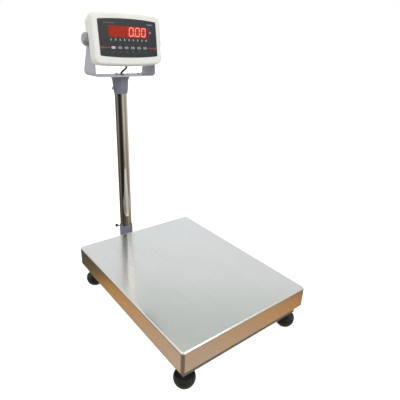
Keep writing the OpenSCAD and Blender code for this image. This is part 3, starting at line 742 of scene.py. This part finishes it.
def digit_bars(centre, size, slant=0.10):
    """The seven bars of one digit: top, upper right, lower right, foot, lower left, upper left, middle."""
    right = size.x / 2
    top = size.y / 2
    thickness = 0.2 * size.x
    gap = 0.04 * size.x
    ends = [((-right, top), (right, top)), ((right, top), (right, 0)), ((right, 0), (right, -top)),
            ((-right, -top), (right, -top)), ((-right, 0), (-right, -top)),
            ((-right, top), (-right, 0)), ((-right, 0), (right, 0))]
    bars = []
    for start, end in ends:
        start = Vector(start)
        end = Vector(end)
        step = (end - start).normalized() * gap
        shape = bar(start + step, end - step, thickness)
        bars.append([centre + Vector((p.x + slant * p.y, p.y)) for p in shape])
    return bars


def display():
    """Six digit blocks behind the window. The last three read 0.00, and the others are dark."""
    low, high = head_box("led_digits")
    glass_low, glass_high = head_box("display_window")
    count = 6
    first_shown = count - 3
    pitch = (high.x - low.x) / count
    size = Vector((0.62 * pitch, 0.80 * (high.z - low.z)))
    dot_r = 0.055 * pitch
    dot_place = Vector((0.44 * pitch, -size.y / 2))
    seam = 0.3 * MM
    face = low.y + 0.5 * MM
    bar_back = face + 0.2 * MM
    centre_z = (low.z + high.z) / 2

    middles = [Vector((low.x + pitch * (i + 0.5), centre_z)) for i in range(count)]
    blocks = [rectangle(middle.x, middle.y, pitch - seam, glass_high.z - glass_low.z) for middle in middles]
    lit = []
    dark = []
    for i, middle in enumerate(middles):
        bars = digit_bars(middle, size)
        dot = [middle + dot_place + p for p in circle(dot_r, 12)]
        (lit if i >= first_shown else dark).extend(bars[:6])
        dark.append(bars[6])
        (lit if i == first_shown else dark).append(dot)
    module = prisms("digit_blocks", blocks, (high.y, face), LOOKS["led_module"], "head")
    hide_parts("led_digits")
    prisms("digit_bars_lit", lit, (bar_back, low.y), LIT, "head")
    prisms("digit_bars_dark", dark, (bar_back, low.y + 0.3 * MM), UNLIT, "head")


def ink_marks(name, shapes, ink):
    """Flat printed shapes on the overlay's face."""
    face = head_box("keypad_overlay")[0].y
    prisms(name, shapes, (face + 0.02 * MM, face - 0.04 * MM), INK[ink], "head")


def status_print():
    """Nine arrows over short bars, two bars for the unit, and the dark edge beside the window."""
    low, high = head_box("display_window")
    glass_z = (low.z + high.z) / 2
    span = 0.9 * (high.x - low.x)
    arrow_z = low.z - 6.5 * MM
    arrow_h = 3.2 * MM
    half = 1.5 * MM
    count = 9
    shapes = []
    for i in range(count):
        x = (low.x + high.x) / 2 + span * (i / (count - 1) - 0.5)
        foot_left = Vector((x - half, arrow_z))
        foot_right = Vector((x + half, arrow_z))
        shapes.append([foot_left, foot_right, Vector((x, arrow_z + arrow_h))])
        shapes.append(rectangle(x, arrow_z - 1.6 * MM, 3.6 * MM, 0.9 * MM))
    for offset in (-1.4 * MM, 1.4 * MM):
        shapes.append(rectangle(high.x + 8.5 * MM, glass_z + offset, 4 * MM, 1.1 * MM))
    ink_marks("print_status", shapes, "white")
    edge = rectangle(high.x + 2.5 * MM, glass_z, 4.6 * MM, high.z - low.z)
    ink_marks("print_window_edge", [edge], "dark_red")


def key_print():
    """A short bar under each key, and a band that widens from the keys to both sides of the overlay."""
    film_low, film_high = head_box("keypad_overlay")
    first_low, first_high = head_box("key_1")
    last_low, _ = head_box("key_6")
    key_z = (first_low.z + first_high.z) / 2
    first = (first_low.x + first_high.x) / 2
    pitch = (last_low.x - first_low.x) / 5
    bars = [rectangle(first + i * pitch, key_z - 10.5 * MM, 5 * MM, 1 * MM) for i in range(6)]
    ink_marks("print_key_marks", bars, "grey")

    inner_half = 0.8 * MM
    outer_half = 2.6 * MM
    band = []
    for side, edge in ((-1, film_low.x), (1, film_high.x)):
        inner = side * (abs(first) + 9 * MM)
        outer = edge - side * 1 * MM
        shape = [Vector((outer, key_z - outer_half)), Vector((inner, key_z - inner_half)),
                 Vector((inner, key_z + inner_half)), Vector((outer, key_z + outer_half))]
        band.append(shape if side < 0 else shape[::-1])
    ink_marks("print_band", band, "red")


def rule_print():
    """Two plain rules near the top of the overlay, in the places of small print."""
    rule_z = head_box("keypad_overlay")[1].z - 12 * MM
    ink_marks("print_rule_right", [rectangle(67 * MM, rule_z, 17 * MM, 1.6 * MM)], "blue")
    ink_marks("print_rule_left", [rectangle(-56 * MM, rule_z, 30 * MM, 2.4 * MM)], "violet")


def indicator_cable():
    """Round cable that rises out of the grommet and bends over to the gland."""
    low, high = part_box("cable_grommet")
    gland_low, gland_high = head_box("cable_gland")
    gland = (gland_low + gland_high) / 2
    clearance = 1.5 * MM
    foot_point = Vector(((low.x + high.x) / 2, (low.y + high.y) / 2, high.z + clearance))
    mouth = HEAD @ Vector((gland.x, gland.y, gland_low.z - clearance))
    lead_up = Vector((0, 0, 0.2 * (mouth.z - foot_point.z)))
    lead_in = HEAD.to_3x3() @ lead_up

    path = [foot_point - Vector((0, 0, 14 * MM)), foot_point - Vector((0, 0, 6 * MM))]
    path += curve(foot_point, lead_up, lead_in, mouth, 24)
    path.append(HEAD @ Vector((gland.x, gland.y, gland_low.z + 4 * MM)))
    piece = loft("head_cable", tube_loops(path, 2.8 * MM), LOOKS["cable_jacket"], None)
    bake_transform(piece)
    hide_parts("indicator_cable")


def knob(side):
    """Fluted knob with a domed end, on its stud."""
    low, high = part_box("knob_" + side)
    sign = 1 if side == "right" else -1
    near, far = (low.x, high.x) if side == "right" else (high.x, low.x)
    centre_y = (low.y + high.y) / 2
    centre_z = (low.z + high.z) / 2
    radius = (high.z - low.z) / 2
    length = abs(far - near) + 2 * MM
    bore_r = 3.3 * MM
    hub_r = 10 * MM
    seat = 3.2 * MM
    rim = 1 * MM
    flat_r = 0.45 * radius
    shoulder = 0.55 * length
    flutes = 10
    flute_depth = 1.1 * MM
    steps = 12 * flutes

    profile = [(bore_r, 0.0), (hub_r, 0.0), (hub_r, seat), (radius - rim, seat), (radius, seat + rim)]
    for sine, cosine in quarter(12):
        profile.append((flat_r + (radius - flat_r) * cosine, shoulder + (length - shoulder) * sine))
    profile += [(0.2 * radius, length), (0.02 * radius, length)]

    def cut(reach):
        """Depth of the flutes at a distance from the axis: they run out over the dome."""
        if reach <= hub_r + 1 * MM:
            return 0.0
        if reach > radius - 1.5 * MM:
            return flute_depth
        return flute_depth * max(0.0, 2 * (reach / radius - 0.5))

    loops = []
    for reach, along in profile:
        ring = []
        for i in range(steps):
            angle = 2 * math.pi * i / steps
            out = reach - cut(reach) * (0.5 + 0.5 * math.cos(flutes * angle)) ** 3
            ring.append(Vector((near + sign * along,
                                centre_y + sign * out * math.cos(angle),
                                centre_z + out * math.sin(angle))))
        loops.append(ring)
    piece = loft("thumb_knob_" + side, loops, LOOKS["knob_plastic"], "thumb_knob_" + side)
    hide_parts("knob_" + side)


# ---------- studio ----------

CAMERA_AT = Vector((-0.5393, -0.7186, 0.5730))  # metres from the centre of the pan's top
CAMERA_AZIMUTH = math.radians(-39.09)
CAMERA_PITCH = math.radians(22.66)
CAMERA_ROLL = math.radians(2.4)
CREAM = (1.0, 0.95, 0.86)


def camera():
    """Camera at the photograph's viewing angle."""
    data = bpy.data.cameras.new("camera")
    data.lens = 34.16
    data.sensor_width = 36
    eye = bpy.data.objects.new("camera", data)
    bpy.context.scene.collection.objects.link(eye)
    turn = Matrix.Rotation(CAMERA_AZIMUTH, 4, "Z") @ Matrix.Rotation(math.pi / 2 - CAMERA_PITCH, 4, "X")
    eye.matrix_world = Matrix.Translation(CAMERA_AT) @ turn @ Matrix.Rotation(CAMERA_ROLL, 4, "Z")
    bpy.context.scene.camera = eye


def softbox(name, place, target, size, power, in_reflections=True):
    """Square lamp aimed at a target, with its side in metres and its power in watts."""
    data = bpy.data.lights.new(name, "AREA")
    data.size = size
    data.energy = power
    lamp = bpy.data.objects.new(name, data)
    lamp.visible_glossy = in_reflections
    bpy.context.scene.collection.objects.link(lamp)
    aim = Vector(target) - Vector(place)
    lamp.matrix_world = Matrix.Translation(place) @ aim.to_track_quat("-Z", "Y").to_matrix().to_4x4()


def floor():
    """Wide pale floor under the feet. Shiny surfaces see the room past it."""
    level = cad_box[0].z
    reach = 40.0
    corners = [(-reach, -reach, level), (reach, -reach, level), (reach, reach, level), (-reach, reach, level)]
    look = Look("floor", roughness=0.9)
    tone = look.noise(0.8, detail=2)
    look.set("Base Color", look.mix(tone, (0.9, 0.9, 0.9), (0.93, 0.93, 0.93)))
    look.set("Emission Color", (1.0, 1.0, 1.0)).set("Emission Strength", 0.8)
    piece = build("floor", corners, [(0, 1, 2, 3)], look, None)
    piece.visible_glossy = False
    piece.visible_diffuse = False


def reflected_room(graph, height, bearing):
    """Colours that shiny surfaces see. Height is the sine of the angle above the horizon.

    Bearing runs once round, from 0 away from the camera through 0.5 toward it.
    """
    level = graph.remap(height, -1, 1)
    by_height = graph.ramp(level, [
        (0.00, (0.45, 0.38, 0.30)), (0.14, (0.62, 0.46, 0.33)), (0.18, (0.63, 0.37, 0.19)),
        (0.217, (0.62, 0.30, 0.08)), (0.226, (0.13, 0.10, 0.06)), (0.26, (0.09, 0.08, 0.055)),
        (0.29, (0.50, 0.42, 0.30)), (0.40, (1.0, 0.95, 0.87)), (0.50, (1.0, 1.0, 1.0)),
        (0.70, (0.93, 0.95, 0.98)), (0.78, (0.91, 0.92, 0.91)), (0.853, (0.40, 0.47, 0.43)),
        (0.875, (1.0, 0.98, 0.93))])

    # light and dark stretches of wall and of ground by bearing, which darken only some of the heights
    walls = graph.ramp(bearing, [
        (0.000, 1.00), (0.083, 0.95), (0.170, 0.35), (0.211, 0.06), (0.250, 0.08), (0.300, 0.32),
        (0.356, 0.10), (0.411, 0.025), (0.467, 0.025), (0.514, 0.04), (0.561, 0.16), (0.608, 0.66),
        (0.661, 0.46), (0.722, 0.30), (0.789, 0.44), (0.889, 0.90), (1.000, 1.00)])
    ground = graph.ramp(bearing, [
        (0.0, 1.0), (0.28, 1.0), (0.36, 0.35), (0.60, 0.35), (0.68, 1.0), (1.0, 1.0)])
    banding = graph.mix(graph.remap(height, -0.42, -0.50), walls, ground)
    is_banded = graph.ramp(level, [
        (0.0, 1.0), (0.45, 1.0), (0.49, 0.0), (0.67, 0.0), (0.70, 1.0), (0.79, 1.0), (0.82, 0.0)])
    seen = graph.mix(is_banded, by_height, graph.mix(1.0, by_height, banding, blend="MULTIPLY"))

    # cream light high up, except straight behind the object, and from lower down behind it on the left
    in_front = graph.ramp(bearing, [(0.0, 0.0), (0.07, 0.0), (0.10, 1.0), (0.90, 1.0), (0.93, 0.0)])
    is_high = graph.remap(height, 0.58, 0.64)
    seen = graph.mix(graph.math("MULTIPLY", in_front, is_high), seen, CREAM)
    is_left = graph.ramp(bearing, [(0.0, 0.0), (0.07, 0.0), (0.10, 1.0), (0.22, 1.0), (0.26, 0.0)])
    is_raised = graph.remap(height, 0.42, 0.50)
    seen = graph.mix(graph.math("MULTIPLY", is_left, is_raised), seen, CREAM)

    # brighter toward the top, with a grey patch straight overhead
    zenith = graph.remap(height, 0.76, 0.86, 1.0, 1.6)
    seen = graph.add("ShaderNodeVectorMath", {0: seen, "Scale": zenith}, operation="SCALE")
    return graph.mix(graph.remap(height, 0.93, 0.98), seen, (0.55, 0.57, 0.57))


def room():
    """White behind the object, a nearly even dome for matt surfaces, and a room's tones for shiny ones."""
    world = bpy.data.worlds.new("room")
    bpy.context.scene.world = world
    world.use_nodes = True
    world.cycles.sampling_method = "NONE"
    graph = Graph(world.node_tree)
    way = graph.add("ShaderNodeTexCoord", output="Generated")
    height = graph.split(way, 2)
    to_camera = math.atan2(CAMERA_AT.y, CAMERA_AT.x)
    turned = graph.add("ShaderNodeVectorRotate", {"Vector": way, "Angle": -to_camera}, rotation_type="Z_AXIS")
    angle = graph.math("ARCTAN2", graph.split(turned, 1), graph.split(turned, 0))
    bearing = graph.remap(angle, -math.pi, math.pi)
    seen = reflected_room(graph, height, bearing)
    dome = graph.ramp(graph.remap(height, -1, 1), [(0.0, 0.62), (0.45, 0.58), (0.60, 0.58), (1.0, 0.78)])

    rays = graph.tree.nodes.new("ShaderNodeLightPath")
    tone = graph.mix(rays.outputs["Is Glossy Ray"], dome, seen)
    tone = graph.mix(rays.outputs["Is Camera Ray"], tone, (1.0, 1.0, 1.0))
    graph.plug(tone, graph.tree.nodes["Background"].inputs["Color"])


def studio():
    """Room, floor, camera and two lamps. The left one lights without showing in the steel."""
    bpy.context.scene.view_settings.view_transform = "Standard"
    room()
    floor()
    camera()
    softbox("key_light", (0.6, -1.7, 2.0), (0, 0, 0.2), 1.2, 19)
    softbox("left_light", (-1.6, -0.5, 1.5), (0, 0.2, 0.3), 0.8, 9, in_reflections=False)


dress_frame()
weighing_pan()
for corner in ("front_left", "front_right", "rear_left", "rear_right"):
    foot(corner)
front_shell()
for number in range(1, 7):
    key(number)
display()
status_print()
key_print()
rule_print()
indicator_cable()
for side in ("left", "right"):
    knob(side)
studio()
